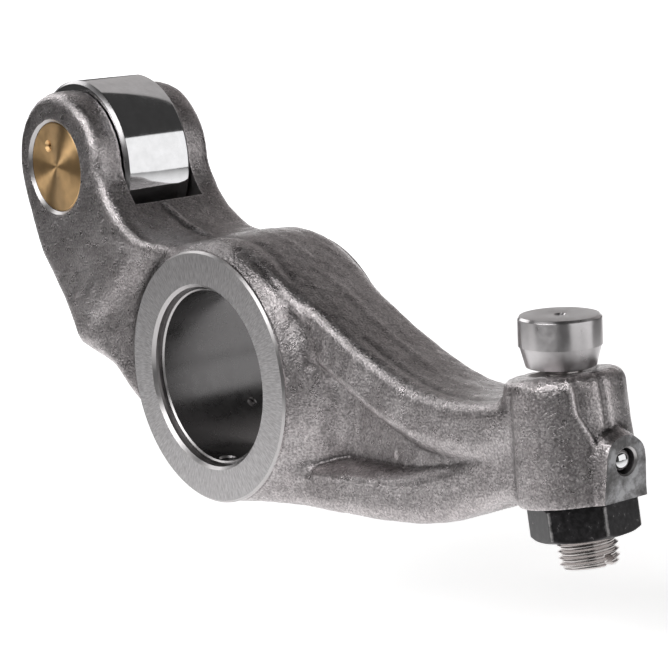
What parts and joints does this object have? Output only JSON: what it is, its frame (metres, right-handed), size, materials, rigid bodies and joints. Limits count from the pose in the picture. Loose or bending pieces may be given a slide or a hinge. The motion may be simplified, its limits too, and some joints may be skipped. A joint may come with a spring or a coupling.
{
  "type": "roller rocker arm",
  "caption": "Forged rocker arm with a shaft bore, a fork holding a cam roller on a bronze pin, and a curved arm with a threaded adjuster, ball-jointed foot and lock nut.",
  "frame": {"origin": "centre of the shaft bore, halfway along it", "axes": "+Y along the shaft bore, +X from the bore towards the adjusting screw, +Z along the screw towards the foot's contact face"},
  "size_m": [0.1799, 0.0326, 0.1117],
  "materials": {
    "forging": "shot-blasted forged steel, ground on the turned faces",
    "liner": "fine bored",
    "roller": "ground and polished steel",
    "pin": "bronze, turned end face",
    "screw": "bright steel",
    "foot": "ground steel",
    "ring": "spring wire",
    "nut": "black oxide",
    "plug": "polished steel ball"
  },
  "bodies": {
    "arm": {"rocker_arm": "forging", "shaft_bushing": "liner", "roller_pin": "pin", "gallery_ball": "plug"},
    "roller": {"roller": "roller"},
    "screw": {"adjusting_screw": "screw"},
    "ring": {"foot_retainer": "ring"},
    "foot": {"swivel_foot": "foot"},
    "nut": {"lock_nut": "nut"}
  },
  "joints": [
    {"name": "roller_spin", "type": "hinge", "parent": "arm", "child": "roller", "pos_m": [-0.0482, 0, 0.0508], "axis": [0, 1, 0], "continuous": true},
    {"name": "lash_travel", "type": "slide", "parent": "arm", "child": "screw", "axis": [0, 0, 1], "range_m": [0, 0.002]},
    {"name": "foot_tilt", "type": "hinge", "parent": "screw", "child": "ring", "pos_m": [0.0975, 0, 0.0009], "axis": [0, 1, 0], "range_deg": [-17, 0]},
    {"name": "foot_spin", "type": "hinge", "parent": "ring", "child": "foot", "pos_m": [0.0975, 0, 0.0009], "axis": [0.1478, 0, 0.989], "continuous": true},
    {"name": "locknut_turn", "type": "hinge", "parent": "arm", "child": "nut", "pos_m": [0.0975, 0, -0.0319], "axis": [0, 0, 1], "continuous": true}
  ]
}
